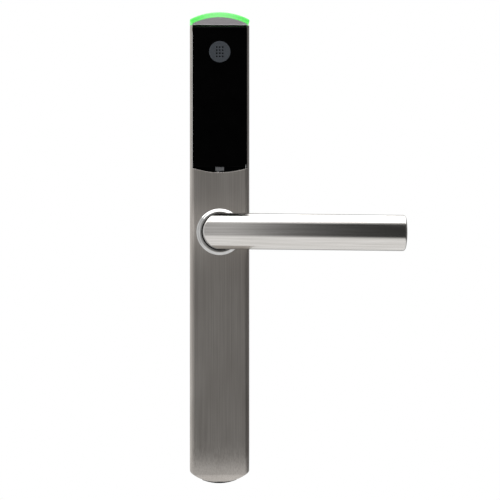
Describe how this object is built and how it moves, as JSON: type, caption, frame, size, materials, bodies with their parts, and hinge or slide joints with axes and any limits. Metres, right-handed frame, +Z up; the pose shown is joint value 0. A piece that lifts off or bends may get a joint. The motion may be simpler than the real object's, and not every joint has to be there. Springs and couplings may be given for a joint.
{
  "type": "keypad smart lock",
  "caption": "Narrow steel door plate with a black keypad reader, a green status light bow and a round mitred lever handle.",
  "frame": {"origin": "where the spindle's axis meets the face of the door (the back of the gasket)", "axes": "+Z up, +Y into the door along the spindle, +X towards the lever's free end"},
  "size_m": [0.131, 0.115, 0.3023],
  "materials": {
    "brushed_stainless_plate": "vertical brush lines, satin",
    "brushed_stainless_lever": "fine brush along the tube",
    "polished_chrome_ring": "polished",
    "black_nylon": "moulded, matt",
    "satin_grey_metal": "fine satin",
    "green_light_guide": "clear acrylic lit green",
    "black_gloss_window": "polished acrylic",
    "dark_grey_icon": "printed under gloss",
    "black_carrier": "fine moulded grain",
    "latch_steel": "satin",
    "black_plug": "moulded",
    "zinc_plated_steel": "bright zinc plate",
    "black_zinc_steel": "black passivated zinc plate",
    "foam_rubber": "closed cell foam",
    "die_cast_zinc": "as cast",
    "screw_steel": "plated",
    "spring_steel": "drawn wire",
    "contact_nickel": "nickel plate",
    "turned_steel": "turned",
    "white_acetal": "moulded",
    "brass_screw": "rolled thread",
    "motor_can": "drawn can",
    "circuit_board": "green solder mask",
    "black_chip": "moulded epoxy",
    "brass_standoff": "turned",
    "green_led": "clear resin",
    "cell_sleeve": "printed film sleeve",
    "lead_sleeve": "soft PVC sleeve",
    "copper_coil": "bare copper"
  },
  "bodies": {
    "door_plate": {"backplate": "black_zinc_steel", "battery_1": "cell_sleeve", "battery_2": "cell_sleeve", "battery_3": "cell_sleeve", "battery_leads": "lead_sleeve", "battery_tray": "black_carrier", "bearing_bush": "black_nylon", "bearing_housing": "die_cast_zinc", "board_components": "black_chip", "board_screws": "screw_steel", "board_standoffs": "brass_standoff", "bottom_plug": "black_plug", "clutch_motor": "motor_can", "contact_block": "black_chip", "contact_plates": "contact_nickel", "contact_springs": "contact_nickel", "control_board": "circuit_board", "door_gasket": "foam_rubber", "front_shell": "brushed_stainless_plate", "housing_screws": "screw_steel", "led_board": "circuit_board", "light_carrier": "black_carrier", "motor_cradle": "black_carrier", "mounting_posts": "zinc_plated_steel", "return_spring": "spring_steel", "rose_ring": "polished_chrome_ring", "shell_screw": "screw_steel", "status_leds": "green_led", "status_light_guide": "green_light_guide", "top_cap": "satin_grey_metal"},
    "spindle_follower": {"spindle_hub": "turned_steel", "square_spindle": "zinc_plated_steel"},
    "lever": {"lever_handle": "brushed_stainless_lever", "drive_hub": "turned_steel", "lever_grub_screw": "screw_steel", "hub_circlip": "spring_steel"},
    "clutch_pin": {"clutch_pin": "turned_steel"},
    "clutch_slider": {"clutch_slider": "white_acetal"},
    "lead_screw": {"lead_screw": "brass_screw"},
    "reader_cover": {"reader_window": "black_gloss_window", "touch_icon": "dark_grey_icon", "cover_frame": "black_carrier", "keypad_board": "circuit_board", "antenna_coil": "copper_coil", "latch_spring": "spring_steel"},
    "release_latch": {"release_latch": "latch_steel"}
  },
  "joints": [
    {"name": "lever_turn", "type": "hinge", "parent": "door_plate", "child": "lever", "pos_m": [0, -0.069, 0], "axis": [0, 1, 0], "range_deg": [0, 40], "stiffness_Nm_per_rad": 0.8, "springref_deg": -34.38},
    {"name": "spindle_turn", "type": "hinge", "parent": "door_plate", "child": "spindle_follower", "pos_m": [0, 0, 0], "axis": [0, 1, 0], "range_deg": [0, 40]},
    {"name": "clutch_slide", "type": "slide", "parent": "door_plate", "child": "clutch_slider", "axis": [0, 0, 1], "range_m": [0, 0.0017]},
    {"name": "clutch_pin_slide", "type": "slide", "parent": "lever", "child": "clutch_pin", "axis": [0, 0, 1], "range_m": [0, 0.0017]},
    {"name": "lead_screw_turn", "type": "hinge", "parent": "door_plate", "child": "lead_screw", "pos_m": [0, -0.0065, 0.024], "axis": [0, 0, 1], "range_deg": [0, 307]},
    {"name": "cover_swing", "type": "hinge", "parent": "door_plate", "child": "reader_cover", "pos_m": [0, -0.017, 0.129], "axis": [-1, 0, 0], "range_deg": [0, 30]},
    {"name": "latch_slide", "type": "slide", "parent": "reader_cover", "child": "release_latch", "axis": [0, 0, 1], "range_m": [0, 0.002], "stiffness_N_per_m": 150, "springref_m": -0.004, "deforming": ["latch_spring"]}
  ],
  "couplings": [
    {"joint": "spindle_turn", "follows": "lever_turn", "ratio": 1},
    {"joint": "clutch_pin_slide", "follows": "clutch_slide", "ratio": 1},
    {"joint": "lead_screw_turn", "follows": "clutch_slide", "rad_per_m": 3141.6}
  ]
}
